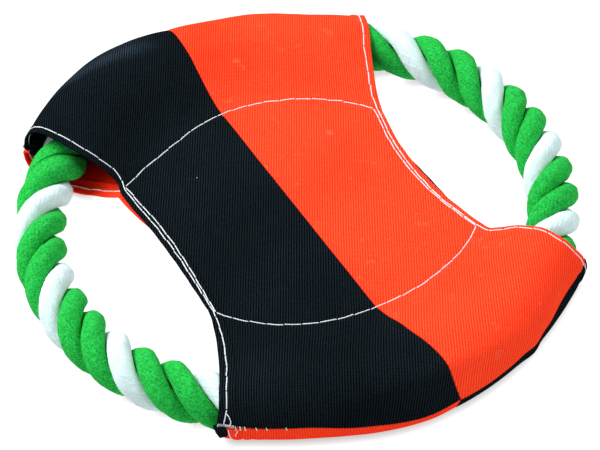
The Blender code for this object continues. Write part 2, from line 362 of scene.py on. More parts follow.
# The last number is the strength of the painted shade between the yarns.
green_cotton = cotton(
    "green_cotton", (0.003, 0.150, 0.014), (0.026, 0.64, 0.090), (0.16, 0.80, 0.28),
    (0.35, 1.0, 0.45), 0.04, 0.12,
)
white_cotton = cotton(
    "white_cotton", (0.52, 0.66, 0.66), (0.69, 0.85, 0.86), (0.74, 0.87, 0.87), (1.0, 1.0, 1.0), 0.03, 0.28
)
white_thread = woven(
    "white_thread", (0.55, 0.57, 0.61), (0.86, 0.88, 0.90), (2600.0, 2.0, 0.6), 0.6, (0.4, 0.1 * MM), 0.1
)
binding_tape = woven(
    "binding_tape", (0.50, 0.47, 0.41), (0.70, 0.68, 0.62), (900.0, 2.0, 0.5), 0.7, (0.5, 0.15 * MM)
)


# -------- rope

LAY_TURNS = 14
LAY_START = 0.165
LAY_DRIFT = 0.315
LAY_DRIFT_ANGLE = math.radians(92.0)
YARNS = 22
YARN_SLANT = 1.72                    # makes the yarns' outer faces lie along the rope
STRAND_MIDDLE = 0.525 * ROPE_R
STRAND_DEEP = 0.49 * ROPE_R          # half of a strand's size outward
STRAND_WIDE = 0.575 * ROPE_R         # half of its size round the rope
NECK = 0.9                           # how much the rope narrows under its binding
LOBE_ANGLE = math.radians(139.0)     # beside the far black mouth


def lay_angle(ring_angle):
    drift = LAY_DRIFT * np.sin(ring_angle + LAY_DRIFT_ANGLE)
    return -math.tau * (LAY_TURNS * ring_angle / math.tau + LAY_START + drift)


def neck(ring_angle):
    away = np.abs((ring_angle - SPLICE_ANGLE + math.pi) % math.tau - math.pi)
    return NECK + (1.0 - NECK) * smooth((away - 0.086) / 0.07)


def strand_mesh(name, index):
    """A strand that fills its third of the rope, with its yarns as ridges along the rope."""
    rows, per_yarn = 760, 4
    start = SPLICE_ANGLE + 0.006
    theta = np.linspace(start, start + math.tau - 0.012, rows)[:, None]
    yarn = np.arange(YARNS * per_yarn)[None, :] * math.tau / (YARNS * per_yarn)
    lay = lay_angle(theta)
    around = yarn - YARN_SLANT * lay
    x = STRAND_MIDDLE + STRAND_DEEP * np.cos(around)
    y = STRAND_WIDE * np.sin(around)
    half = math.pi / 3.0
    gap = 0.06 * MM
    for sign in (1.0, -1.0):
        inside = math.sin(half) * x - sign * math.cos(half) * y
        kept = 0.5 * (inside + gap + np.sqrt((inside - gap) ** 2 + (0.7 * MM) ** 2))
        push = kept - inside
        x = x + math.sin(half) * push
        y = y - sign * math.cos(half) * push
    ridge = np.broadcast_to(np.abs(np.cos(0.5 * YARNS * yarn)) ** 0.7, x.shape)
    source = np.random.default_rng(40 + index)
    yarn_size = source.normal(0.0, 1.0, YARNS)
    which = np.round(yarn / math.tau * YARNS).astype(int) % YARNS
    lumps = ripples(theta * RING_R, around * 5 * MM, 70 + index, 9.0 * MM)
    fine = ripples(theta * RING_R, around * 5 * MM, 90 + index, 1.6 * MM, 11)
    depth = 0.075 if index == 0 else 0.03
    relief = depth * (ridge - 0.6) + 0.5 * depth * yarn_size[which] + 0.14 * lumps + 0.03 * fine
    reach = np.hypot(x - STRAND_MIDDLE, y)
    grow = 1.0 + relief * MM / reach
    if index > 0:
        grow = grow + 0.05 * bell(theta - LOBE_ANGLE, math.radians(8.0))
    x = STRAND_MIDDLE + (x - STRAND_MIDDLE) * grow
    y = y * grow
    if index > 0:
        # The two green strands press into one smooth lobe here
        towards = 1.0 if index == 1 else -1.0
        turn = np.arctan2(towards * y, x)
        rise = np.hypot(x, y)
        full = STRAND_MIDDLE + STRAND_DEEP
        filled = smooth(turn / math.radians(52.0)) * smooth((rise / full - 0.62) / 0.15)
        filled = 0.95 * filled * bell(theta - LOBE_ANGLE, math.radians(9.0))
        rise = rise + filled * (full - 0.15 * MM - rise)
        turn = towards * (turn + filled * math.radians(5.0))
        x, y = rise * np.cos(turn), rise * np.sin(turn)
    squeeze = neck(theta)
    section = lay + math.tau * index / 3.0
    out = squeeze * (x * np.cos(section) - y * np.sin(section))
    up = squeeze * (x * np.sin(section) + y * np.cos(section))
    points = np.stack([(RING_R + out) * np.cos(theta), (RING_R + out) * np.sin(theta), RING_Z + up], axis=-1)
    caps = np.repeat(points[[0, -1]].mean(axis=1, keepdims=True), points.shape[1], axis=1)
    points = np.concatenate([caps[:1], points, caps[1:]], axis=0)
    ridge = np.concatenate([ridge[:1], ridge, ridge[-1:]], axis=0)
    return mesh_from_grid(name, points[:, ::-1], True, {"yarn": ridge[:, ::-1]})


def add_strand(name, index, node, material):
    mesh = strand_mesh(name, index)
    shape = bmesh.new()
    shape.from_mesh(mesh)
    bmesh.ops.remove_doubles(shape, verts=shape.verts, dist=0.001 * MM)
    shape.to_mesh(mesh)
    shape.free()
    return add_piece(name, mesh, "rope", material, [node])


def add_fuzz(name, strand, count, material):
    """Short curled hairs that stand out of a strand: thin three-sided tubes in three joints."""
    spots, normals = (np.zeros(3 * len(strand.data.vertices), np.float32) for _ in range(2))
    strand.data.vertices.foreach_get("co", spots)
    strand.data.vertices.foreach_get("normal", normals)
    spots = spots.reshape(-1, 3).astype(float)
    normals = normals.reshape(-1, 3).astype(float)
    middle = spots * [1.0, 1.0, 0.0]
    middle *= RING_R / np.linalg.norm(middle, axis=1, keepdims=True)
    middle[:, 2] = RING_Z
    outside = np.linalg.norm(spots - middle, axis=1) > 0.82 * ROPE_R
    source = np.random.default_rng(len(name) + count)
    chosen = source.choice(np.flatnonzero(outside), count)
    base = spots[chosen]
    up = normals[chosen]
    lean = unit(np.cross(up, source.normal(0.0, 1.0, (count, 3))))
    curl = np.cross(up, lean) * source.normal(0.0, 0.6, (count, 1))
    length = source.uniform(0.5, 1.5, (count, 1)) * MM
    rings = []
    for t in np.linspace(0.0, 1.0, 4):
        centre = base + length * (up * (0.75 * t - 0.3 * t * t) + lean * 0.75 * t + curl * t * t)
        thick = 0.035 * MM * (1.0 - 0.6 * t)
        for k in range(3):
            a = math.tau * k / 3.0
            rings.append(centre + thick * (lean * math.cos(a) + np.cross(up, lean) * math.sin(a)))
    points = np.stack(rings, axis=1)
    start = 12 * np.arange(count)[:, None]
    quads = []
    for row in range(3):
        for k in range(3):
            a, b = 3 * row + k, 3 * row + (k + 1) % 3
            quads.append(start + np.array([[a, b, b + 3, a + 3]]))
    quads = np.concatenate(quads)
    hairs = quad_mesh(name, points, quads)
    hairs.validate()
    add_piece(name, hairs, "rope", material)


for index, colour, kind, hair_colour in (
    (0, "white", white_cotton, (0.70, 0.83, 0.84)),
    (1, "green_a", green_cotton, (0.05, 0.52, 0.10)),
    (2, "green_b", green_cotton, (0.05, 0.52, 0.10)),
):
    strand = add_strand("cotton_strand_" + colour, index, "rope_strand_" + colour, kind)
    hair = fuzz_material("fuzz_" + colour, slots[kind.name], hair_colour)
    add_fuzz("cotton_fuzz_" + colour, strand, 4200, hair)


def make_binding():
    """Cloth tape wound three times round the two rope ends."""
    length = 12.5 * MM / RING_R
    rows, columns = 40, 64
    along = np.linspace(-0.5, 0.5, rows)[:, None]
    around = np.arange(columns)[None, :] * math.tau / columns
    turn = (along * 3.0 + around / math.tau) % 1.0
    radius = NECK * ROPE_R * 1.015 + 0.35 * MM + 0.28 * MM * turn
    radius = radius - 0.06 * MM * ripples(along * 12 * MM, around * 10 * MM, 9, 7 * MM)
    theta = SPLICE_ANGLE + along * length
    out = RING_R + radius * np.cos(around)
    points = np.stack([out * np.cos(theta), out * np.sin(theta), RING_Z + radius * np.sin(around)], axis=-1)
    mesh = mesh_from_grid("binding_tape_wrap", points, True)
    wrap = add_piece("binding_tape_wrap", mesh, "rope", binding_tape, ["rope_joint_binding"])
    thicken(wrap, 0.3 * MM, -1.0)


make_binding()


# -------- cloth cover

# Each sleeve has ribs from its centre seam (share 0) to its concave edge (share 1).  A rib has a pair for
# each row from the ring stitch out to the outer seam, in millimetres: the distance from the ring's middle
# and the height off the ring's plane.  A middle rib starts with its share.  An edge rib has a third number
# in each row, the angle from the centre seam.

SEAM_RIB = {
    (TOP, FAR): (62.2, 0.8, 68, 1.6, 76, 4.8, 83.5, 9.2, 90, 13, 97, 14.8, 104, 14.7, 110, 11.6, 114.5, 6.2,
        116.2, 0.8),
    (TOP, NEAR): (62.3, 0.8, 69, 2, 76, 4.6, 83, 7.5, 90, 10.2, 96, 11.7, 102, 12.1, 107.4, 11.2, 111.5, 6,
        115.9, 1),
    (BOTTOM, FAR): (62.2, -0.8, 68, -1.5, 76, -4, 83.5, -7.2, 90, -9.8, 97, -11.3, 104, -11.3, 110, -8.8,
        114.5, -4.4),
    (BOTTOM, NEAR): (62.3, -0.8, 69, -1.8, 76, -4, 83, -7, 90, -9.8, 97, -11.3, 103.6, -11.3, 109, -9.8,
        112.6, -6),
}
MIDDLE_RIBS = {
    (TOP, FAR, BLACK_SIDE): (
        (0.22, 61.9, 0.8, 68, 1.9, 76, 5.6, 83.5, 10.6, 90.3, 14.9, 97.6, 17.4, 105, 17.4, 111.4, 14.3,
         116.2, 7.8, 117.8, 0.8),
        (0.5, 61.6, 0.8, 68, 2.2, 76, 6.2, 83.5, 11.4, 90.5, 15.6, 98, 18.2, 105.5, 18.3, 112, 15.2,
         117.2, 8.6, 118.8, 0.8),
    ),
    (TOP, FAR, ORANGE_SIDE): (
        (0.5, 61.6, 0.8, 67, 1.8, 75, 4.8, 83, 8, 90, 10.4, 97, 11.3, 103, 10.9, 109, 8.2, 113.5, 3.9,
         116, 0.6),
        (0.78, 62, 0.8, 67, 1.8, 74, 4.5, 82, 7.3, 89.5, 9.3, 97, 10.3, 103, 10.2, 108.2, 7.2, 112.6, 3.2,
         115.2, 0.6),
    ),
    (TOP, NEAR, BLACK_SIDE): (
        (0.1, 62.1, 0.8, 68.8, 2.1, 76, 4.9, 83.3, 7.9, 90.3, 10.5, 96.3, 11.9, 102.2, 12.1, 107.8, 10.6,
         112.4, 4.6, 115, -1.4),
        (0.28, 61.9, 0.8, 68.5, 2.2, 76, 5.2, 83.6, 8.4, 90.6, 10.9, 96.6, 12.1, 102.4, 11.9, 107.9, 9.5,
         111.8, 3.6, 113.2, -1.9),
        (0.6, 61.8, 0.8, 68, 2.4, 76, 5.6, 84, 8.9, 91, 11.1, 97, 12, 102.2, 11.4, 106.8, 8.8, 110, 5,
         110.9, 1.9),
    ),
    (TOP, NEAR, ORANGE_SIDE): (
        (0.46, 65.8, 0.8, 70.6, 2.4, 77.6, 5.4, 85, 8.4, 92, 10.9, 98, 11.8, 104, 11.2, 109.3, 8.2,
         112.5, 4.2, 113.7, 0.2),
        (0.72, 68.6, 0.8, 73, 2.2, 79.4, 5, 86.4, 8.2, 93, 10.6, 98.6, 11.4, 103.8, 10.6, 108.3, 7.4,
         111.1, 3.4, 112.1, 0),
    ),
    (BOTTOM, FAR, BLACK_SIDE): (
        (0.22, 61.9, -0.8, 68, -1.6, 76, -4.1, 83.5, -7.3, 90, -9.9, 97, -11.3, 104, -11.3, 110.8, -8.8,
         115.8, -4.2),
        (0.5, 61.6, -0.8, 68, -1.6, 76, -4.2, 83.5, -7.4, 90, -9.9, 97, -11.3, 104, -11.3, 111, -8.8,
         116.6, -4.2),
    ),
    (BOTTOM, FAR, ORANGE_SIDE): (
        (0.5, 61.6, -0.8, 67, -1.6, 75, -4.2, 83, -7.6, 90, -10.2, 97, -11.3, 103, -11.3, 109.4, -8.8,
         114.2, -4),
        (0.78, 62, -0.8, 67, -1.8, 74, -4.1, 82, -7.3, 89.5, -10, 97, -11.3, 103, -11.3, 109, -9,
         113.6, -4.2),
    ),
    (BOTTOM, NEAR, BLACK_SIDE): (
        (0.1, 62.1, -0.8, 68.8, -1.8, 76, -4.2, 83.3, -7.2, 90.3, -10, 97, -11.3, 103.4, -11.3, 108.6, -10,
         112.6, -6.8),
        (0.28, 61.9, -0.8, 68.5, -1.9, 76, -4.4, 83.6, -7.6, 90.6, -10.2, 97, -11.3, 103, -11.2,
         107.6, -9.8, 111.2, -6.8),
        (0.6, 61.8, -0.8, 68, -2, 76, -4.4, 84, -7.6, 91, -10.2, 97, -11.3, 102, -11.1, 106, -9.2,
         108.9, -6),
    ),
    (BOTTOM, NEAR, ORANGE_SIDE): (
        (0.46, 65.8, -0.8, 70.6, -1.6, 77.6, -4.4, 85, -7.8, 92, -10.4, 98, -11.3, 103.4, -11.3,
         108.2, -10.2, 111.8, -6.4),
        (0.72, 68.6, -0.8, 73, -1.8, 79.4, -4.6, 86.4, -8, 93, -10.5, 98.6, -11.3, 103.6, -11.3,
         108.4, -10.4, 112.1, -6.2),
    ),
}
EDGE_RIB = {
    (TOP, FAR, BLACK_SIDE): (69.2, 0.8, 53.2, 71.8, 2.5, 49.3, 77, 5.6, 47.4, 84, 9.8, 46.7,
        91.8, 12.7, 45.7, 98.6, 14.6, 44.7, 104.8, 14.8, 43.8, 109.8, 12.8, 43, 114, 7.4, 42.6,
        115.6, 1, 42.3),
    (TOP, FAR, ORANGE_SIDE): (62.3, 0.8, 63.9, 67, 1.9, 59.8, 73, 4, 56, 81, 6.5, 52.6, 89, 8.7, 50,
        97, 10.4, 48, 103, 10.2, 46.3, 108, 8, 45, 112.5, 4.2, 44.3, 115, 0.6, 44),
    (TOP, NEAR, BLACK_SIDE): (61.9, 0.8, 60, 66.2, 1.3, 56, 75.2, 4.2, 50.9, 83.6, 6.8, 47.7,
        90.8, 8.8, 45.6, 97, 10.9, 44.2, 102, 11.1, 43.4, 106.4, 9.6, 42.8, 109.9, 5.4, 42.7,
        110.9, 1.6, 43),
    (TOP, NEAR, ORANGE_SIDE): (71.2, 0.8, 50.7, 76, 1.2, 48.2, 80.7, 3.4, 47.4, 88.6, 6.9, 46.5,
        93.5, 9, 45.6, 98.8, 10.3, 44.5, 104.2, 9.4, 43.5, 108.4, 6.4, 43.3, 112, 2.8, 43.2, 113.2, 0, 43),
    (BOTTOM, FAR, BLACK_SIDE): (70.7, -0.8, 53.1, 73, -2.7, 51.9, 76.6, -4.9, 50.3, 83.2, -7.5, 48.5,
        92.5, -10, 46.8, 99, -11.2, 45.5, 105, -11.2, 44.6, 111, -9, 43.8, 115.5, -4.5, 43),
    (BOTTOM, FAR, ORANGE_SIDE): (62.4, -0.8, 63.6, 67, -2, 59.8, 73, -4, 56.2, 81, -7, 52.8, 89, -9.8, 50.2,
        97, -11.3, 48.2, 103, -11.3, 46.5, 108.5, -9.2, 45.2, 112.8, -4.5, 44.4),
    (BOTTOM, NEAR, BLACK_SIDE): (62, -0.8, 58.8, 66.5, -1.6, 54.9, 75, -4.4, 50, 83.6, -7.6, 46.7,
        91, -10.4, 44.9, 97, -11.3, 43.9, 101.8, -11.2, 43.1, 106, -9.4, 42.4, 109, -6, 42.2),
    (BOTTOM, NEAR, ORANGE_SIDE): (71.5, -0.8, 51, 76, -1.8, 48.6, 81, -4.6, 47.6, 88, -8.2, 46.5,
        93.5, -10.6, 45.8, 99, -11.3, 44.8, 104.4, -11.3, 43.8, 109.8, -10.2, 43.6, 113.8, -6.2, 44.2),
}
# How far the near seam between black and orange leans over to the orange side, row by row
SEAM_SLIP = {FAR: (0.0,) * 10, NEAR: (0.0, 0.8, 1.5, 1.6, 1.9, 2.4, 2.9, 3.0, 3.0, 3.0)}
# Distance from the centre seam to a concave edge between its two sleeves, against Y
WAIST_LINE = {
    (BLACK_SIDE, TOP): ((-20, 53), (-8, 52.7), (5, 52.8), (19, 53.2), (32, 54.3)),
    (ORANGE_SIDE, TOP): ((-36, 52.7), (-24, 51.1), (-12, 50.6), (0, 50.9), (12.5, 52.3), (19, 53.7)),
    (BLACK_SIDE, BOTTOM): ((-20, 51.6), (-8, 51.5), (5, 51.6), (19, 52.4), (32, 54.8)),
    (ORANGE_SIDE, BOTTOM): ((-36, 52.5), (-24, 52.5), (-12, 52.3), (0, 51.9), (12.5, 52.7), (19, 53.8)),
}
# A sharp corner in the near outer seam, where the top layer's allowance has been caught: angle, width, reach
CORNER_ANGLE = math.radians(19.7)
CORNER_WIDTH = math.radians(2.4)
CORNER_REACH = 0.9 * MM


def sleeve_tables(end, side, layer):
    """Shares, ribs and edge angles of one sleeve; a bottom layer ends on its top layer's outer seam."""
    middle = MIDDLE_RIBS[layer, end, side]
    shares = np.array([0.0, *(rib[0] for rib in middle), 1.0])
    border = np.array(EDGE_RIB[layer, end, side]).reshape(-1, 3)
    ribs = [SEAM_RIB[layer, end], *(rib[1:] for rib in middle)]
    ribs = np.array([np.array(rib).reshape(-1, 2) for rib in ribs] + [border[:, :2]])
    angles = border[:, 2:]
    if layer == BOTTOM:
        ribs = np.concatenate([ribs, sleeve_tables(end, side, TOP)[1][:, -1:]], axis=1)
        angles = np.concatenate([angles, angles[-1:]])
    return shares, ribs, angles


def sleeve_points(end, side, layer, shares, t):
    at, ribs, angles = sleeve_tables(end, side, layer)
    control = natural_curve(at, MM * ribs.reshape(len(at), -1), shares).reshape(len(shares), -1, 2)
    curve = through_points(np.swapaxes(control, 0, 1), t)
    edge_angle = through_points(np.radians(angles)[:, :, None], t)[:, :, 0]
    slip = through_points(np.array(SEAM_SLIP[end])[:, None, None] * MM, t)[:, :, 0]
    radius = curve[:, :, 0]
    angle = shares[None, :] * edge_angle + (1.0 - shares[None, :]) * SEAM_INSET / radius
    if (end, side) == (NEAR, ORANGE_SIDE):
        corner = bell(angle - CORNER_ANGLE, CORNER_WIDTH)
        radius = radius + CORNER_REACH * corner * smooth((t[:, None] - 0.72) / 0.28) ** 2
        if layer == BOTTOM:
            radius = radius + 0.6 * MM * corner * bell(t[:, None] - 0.93, 0.07)
    x = side * radius * np.sin(angle) + slip * (1.0 - shares[None, :]) ** 2
    y = end * radius * np.cos(angle)
    return np.stack([x, y, RING_Z + curve[:, :, 1]], axis=-1)


def centre_points(side, layer, near, far, v):
    """Rows between the two stitched arcs; near and far are those arcs, from the centre seam to the edge."""
    v = v[:, None]
    y = near[None, :, 1] + v * (far[None, :, 1] - near[None, :, 1])
    line = np.array(WAIST_LINE[side, layer]) * MM
    ys = np.concatenate([[near[-1, 1]], line[:, 0], [far[-1, 1]]])
    xs = np.concatenate([[abs(near[-1, 0])], line[:, 1], [abs(far[-1, 0])]])
    edge_x = natural_curve(ys, xs, y[:, -1])
    share = near[None, :, 0] / near[-1, 0] * (1.0 - v) + far[None, :, 0] / far[-1, 0] * v
    x = side * edge_x[:, None] * share
    return np.stack([x, y, np.full_like(x, RING_Z + layer * 0.8 * MM)], axis=-1)


def natural_curve(xs, ys, at):
    """A smooth line through points at uneven spacing; ys may hold one value or a row of values per point."""
    shape = (-1,) + (1,) * (ys.ndim - 1)
    step = np.diff(xs).reshape(shape)
    slope = np.diff(ys, axis=0) / step
    tangent = np.concatenate([slope[:1], 0.5 * (slope[:-1] + slope[1:]), slope[-1:]])
    k = np.clip(np.searchsorted(xs, at) - 1, 0, len(step) - 1)
    u = ((at - xs[k]) / np.diff(xs)[k]).reshape(shape)
    a = ys[k] * (1 + 2 * u) * (1 - u) ** 2 + ys[k + 1] * (3 - 2 * u) * u**2
    return a + step[k] * (tangent[k] * u * (1 - u) ** 2 - tangent[k + 1] * u**2 * (1 - u))


def spaced(count):
    """0..1 in steps that shrink towards both ends."""
    t = np.linspace(0.0, 1.0, count)
    return t - 0.1 * np.sin(math.tau * t)


def hem_inset(edge):
    """From the edge to the hem's stitches: closer at the waist than at the mouths."""
    inset = 1.75 + 0.6 * smooth((np.abs(edge[:, 1]) / MM - 20.0) / 30.0)
    radius = np.hypot(edge[:, 0], edge[:, 1]) / MM
    tight = np.interp(radius, (60.0, 71.0, 84.0, 94.0, 103.0, 115.0), (1.75, 1.5, 1.15, 1.1, 1.7, 1.8))
    return np.where((edge[:, 0] > 0.0) & (edge[:, 1] < 0.0), tight, inset) * MM


def ring_inset(edge):
    """From the edge to the ring stitch where it runs beside the waist."""
    lean = np.clip(edge[:, 1] / (40.0 * MM), -1.0, 1.0)
    return np.where(edge[:, 0] > 0.0, 3.1 + 0.75 * lean, 3.2 + 0.3 * lean) * MM


def run_length(points, axis):
    """Distance along a grid's rows or columns, from the first point."""
    steps = np.linalg.norm(np.diff(points, axis=axis), axis=2)
    start = np.zeros_like(np.take(steps, [0], axis=axis))
    return np.cumsum(np.concatenate([start, steps], axis=axis), axis=axis)


SLEEVE_ROWS = 84
CENTRE_ROWS = 120


class Sheet:
    """One panel of the cover as a grid of points, near seam to far seam and centre seam to concave edge."""

    def __init__(self, side, layer):
        self.side = side
        self.layer = layer
        shares = np.concatenate([np.linspace(0.0, 0.87, 50), np.linspace(0.87, 0.989, 20)[1:]])
        t = 0.989 * spaced(SLEEVE_ROWS)
        near = sleeve_points(NEAR, side, layer, shares, t)
        far = sleeve_points(FAR, side, layer, shares, t)
        v = np.linspace(0.0, 1.0, CENTRE_ROWS + 2)[1:-1]
        middle = centre_points(side, layer, near[0], far[0], v)
        points = np.concatenate([near[::-1], middle, far], axis=0)
        self.near_stitch = SLEEVE_ROWS - 1
        self.far_stitch = SLEEVE_ROWS + CENTRE_ROWS
        self.to_edge = run_length(points[:, ::-1], 1)[:, ::-1]
        self.hem_inset = hem_inset(points[:, -1])[:, None]
        self.ring_inset = ring_inset(points[:, -1])[:, None]
        self.along = run_length(points, 0)
        self.uv = self.flat_pattern(points)
        normals = grid_normals(points, layer)
        points = points + normals * self.relief(points)[:, :, None]
        self.points = self.clear_of_rope(points)
        self.normals = grid_normals(self.points, layer)

    def clear_of_rope(self, points):
        """Pushes cloth outward where it would cut into the rope; a folded hem needs more room."""
        folded = smooth((HEM_DEPTH + 2.0 * MM - self.to_edge) / (2.0 * MM))
        room = ROPE_R + 0.55 * MM + 2.0 * HEM_FOLD * folded
        axis = points * [1.0, 1.0, 0.0]
        axis *= RING_R / np.linalg.norm(axis, axis=2, keepdims=True)
        axis[:, :, 2] = RING_Z
        away = points - axis
        distance = np.linalg.norm(away, axis=2)
        kept = 0.5 * (distance + room + np.sqrt((distance - room) ** 2 + (0.2 * MM) ** 2))
        return axis + away * (kept / distance)[:, :, None]

    def spot_at(self, row, inset):
        """The column just outside an inset from the concave edge, and the part of a step to the next one."""
        columns = np.arange(self.points.shape[1])
        spot = np.interp(inset, self.to_edge[row, ::-1], columns[::-1])
        low = min(int(spot), columns[-2])
        return low, spot - low

    def row_distance(self, row):
        return np.abs(self.along - self.along[row : row + 1])

    def ring_distance(self):
        """Distance along the cloth from the ring stitch's line."""
        arcs = np.minimum(self.row_distance(self.near_stitch), self.row_distance(self.far_stitch))
        arcs = arcs + 100.0 * MM * (self.to_edge < self.ring_inset)
        between = np.zeros(self.to_edge.shape, bool)
        between[self.near_stitch : self.far_stitch] = True
        run = np.where(between, np.abs(self.to_edge - self.ring_inset), 100.0 * MM)
        return np.minimum(arcs, run)

    def relief(self, points):
        """Hem thickness, stitch dimples, puckers and soft unevenness, along the normal."""
        x, y = points[:, :, 0], points[:, :, 1]
        hem = 0.45 * MM * smooth((HEM_DEPTH + 0.6 * MM - self.to_edge) / (1.2 * MM))
        hem_line = bell(self.to_edge - self.hem_inset, 0.6 * MM)
        dimple = -0.15 * MM * hem_line
        ring = self.ring_distance()
        dimple = dimple - 0.30 * MM * bell(ring, 1.0 * MM)
        angle = np.arctan2(y, x)
        pucker = np.sin(angle * 58.0 + 1.8 * np.sin(angle * 9.0)) * bell(ring - 2.5 * MM, 4.0 * MM)
        pucker = 0.10 * MM * pucker * smooth(self.to_edge / (12 * MM))
        hem_pucker = np.sin(self.along * math.tau / (11.0 * MM) + 2.0 * np.sin(self.along * 70.0))
        hem_pucker = 0.12 * MM * hem_pucker * bell(self.to_edge, 8.0 * MM)
        broad = 0.28 * MM * ripples(x, y, 11 + 3 * self.side + self.layer, 34.0 * MM)
        fine = 0.06 * MM * ripples(x, y, 23 + 3 * self.side + self.layer, 11.0 * MM)
        outside = smooth((np.hypot(x, y) - STITCH_R) / (12.0 * MM))
        inner = 1.0 if self.layer == TOP else 0.25
        soft = (broad * (0.25 + 0.75 * outside) + fine) * inner
        return hem + dimple + pucker + hem_pucker + soft + self.gathers()

    def gathers(self):
        """Small puffs beside the near corner of the black side, where the tack bunches the cloth."""
        if self.side == ORANGE_SIDE or self.layer == TOP:
            return 0.0
        from_seam = self.row_distance(0)
        lobes = np.abs(np.sin((self.to_edge - 1.2 * MM) * math.pi / (4.2 * MM)))
        lobes = lobes * bell(self.to_edge - 6.5 * MM, 5.5 * MM) * bell(from_seam - 4.0 * MM, 4.5 * MM)
        return 1.1 * MM * lobes

    def flat_pattern(self, points):
        """Where each point lay on the flat cloth, for the weave."""
        uv = points[:, :, :2].copy()
        near, far = self.near_stitch, self.far_stitch
        for rows, start in ((slice(0, near), near), (slice(far + 1, None), far)):
            radius = np.hypot(points[:, :, 0], points[:, :, 1])
            flat = radius[start] + self.row_distance(start)[rows]
            uv[rows] = points[rows, :, :2] * (flat / radius[rows])[:, :, None]
        return uv

    def folded(self):
        """The grid with its hem turned under and its three seam edges turned in."""
        points, normals, uv = self.points, self.normals, self.uv
        edge = points[:, -1]
        out = unit(edge - points[:, -2])
        up = normals[:, -1]
        axis = edge - up * HEM_FOLD
        turned, turned_uv = [], []
        for step in range(1, 6):
            a = math.pi * step / 6.0
            turned.append(axis + HEM_FOLD * (up * math.cos(a) + out * math.sin(a)))
            turned_uv.append(uv[:, -1] + (uv[:, -1] - uv[:, -2]) * 0.4 * step)
        back = [k for k in range(points.shape[1] - 1, 0, -1) if self.to_edge[:, k].mean() < HEM_DEPTH * 1.25]
        for k in back:
            turned.append(points[:, k] - normals[:, k] * 2.0 * HEM_FOLD)
            turned_uv.append(2.0 * uv[:, -1] - uv[:, k])
        turned = np.stack(turned, axis=1)
        turned_uv = np.stack(turned_uv, axis=1)
        repeat = np.repeat(up[:, None], turned.shape[1], axis=1)
        points = np.concatenate([points, turned], axis=1)
        normals = np.concatenate([normals, repeat], axis=1)
        uv = np.concatenate([uv, turned_uv], axis=1)
        points, normals, uv = turn_in(points, normals, uv, SEAM_TURN, 0.25 * MM)
        swapped = [np.swapaxes(grid, 0, 1) for grid in (points, normals, uv)]
        swapped = turn_in(*swapped, SEAM_TURN, 2.6 * MM)
        swapped = turn_in(*[grid[:, ::-1] for grid in swapped], SEAM_TURN, 2.6 * MM)
        return [np.swapaxes(grid[:, ::-1], 0, 1) for grid in swapped]


def turn_in(points, normals, uv, radius, depth):
    """Adds a quarter-round and a straight tail at the first column, turned away from the normal."""
    edge = points[:, 0]
    out = unit(edge - points[:, 1])
    up = normals[:, 0]
    axis = edge - up * radius
    added, steps = [], []
    for a in (30.0, 60.0, 90.0):
        a = math.radians(a)
        added.append(axis + radius * (up * math.cos(a) + out * math.sin(a)))
        steps.append(radius * a)
    for tail in (0.5, 1.0):
        added.append(added[2] - up * depth * tail)
        steps.append(radius * 1.57 + depth * tail)
    added = np.stack(added[::-1], axis=1)
    direction = unit(uv[:, 0] - uv[:, 1])
    added_uv = np.stack([uv[:, 0] + direction * step for step in steps[::-1]], axis=1)
    repeat = np.repeat(up[:, None], added.shape[1], axis=1)
    return (
        np.concatenate([added, points], axis=1),
        np.concatenate([repeat, normals], axis=1),
        np.concatenate([added_uv, uv], axis=1),
    )


PANELS = (
    ("top_black", BLACK_SIDE, TOP, black_nylon), ("top_orange", ORANGE_SIDE, TOP, orange_nylon),
    ("bottom_orange", BLACK_SIDE, BOTTOM, orange_nylon), ("bottom_black", ORANGE_SIDE, BOTTOM, black_nylon),
)
sheets = {(side, layer): Sheet(side, layer) for side in (ORANGE_SIDE, BLACK_SIDE) for layer in (TOP, BOTTOM)}
for label, side, layer, cloth in PANELS:
    points, _, uv = sheets[side, layer].folded()
    name = "cloth_" + label
    mesh = mesh_from_grid(name, points, uv=uv)
    thicken(add_piece(name, mesh, "cover", cloth, [label.replace("_", "_panel_")]), CLOTH)


# -------- stitches


def stitch_geometry(path, normals, lift, pitch=STITCH_PITCH, sides=8):
    """Separate stitches along a dense path: each rises out of the cloth and goes back into it."""
    distance = np.concatenate([[0.0], np.cumsum(np.linalg.norm(np.diff(path, axis=0), axis=1))])
    total = distance[-1]
    count = max(1, round(total / pitch))
    pitch = total / count
    source = np.random.default_rng(int(total * 1e6) % 9973)
    rings, faces, offset = [], [], 0
    for stitch in range(count):
        t = np.array([0.0, 0.03, 0.07, 0.2, 0.5, 0.8, 0.93, 0.97, 1.0])
        at = (stitch + 0.006 + 0.988 * t) * pitch
        middle = read_path(path, distance, at)
        up = unit(read_path(normals, distance, at))
        aside = np.cross(unit(np.gradient(middle, axis=0)), up)
        flat = 1.0 - np.abs(2.0 * t - 1.0) ** 26
        rise = lift * flat - 0.3 * MM * (1.0 - flat)
        slant = source.normal(0.0, 0.14 * MM) * (2.0 * t - 1.0) + source.normal(0.0, 0.06 * MM)
        middle = middle + up * rise[:, None] + aside * slant[:, None]
        thick = THREAD_R * (0.8 + 0.2 * flat) * source.uniform(0.92, 1.08)
        turn = np.arange(sides) * math.tau / sides
        ring = middle[:, None] + thick[:, None, None] * (
            aside[:, None] * 1.1 * np.cos(turn)[None, :, None] + up[:, None] * np.sin(turn)[None, :, None]
        )
        rings.append(ring.reshape(-1, 3))
        last = offset + (len(t) - 1) * sides
        for start in range(offset, last, sides):
            for k in range(sides):
                a, b = start + k, start + (k + 1) % sides
                faces.append((a, b, b + sides, a + sides))
        faces.append(tuple(offset + k for k in reversed(range(sides))))
        faces.append(tuple(last + k for k in range(sides)))
        offset = last + sides
    return np.concatenate(rings), faces


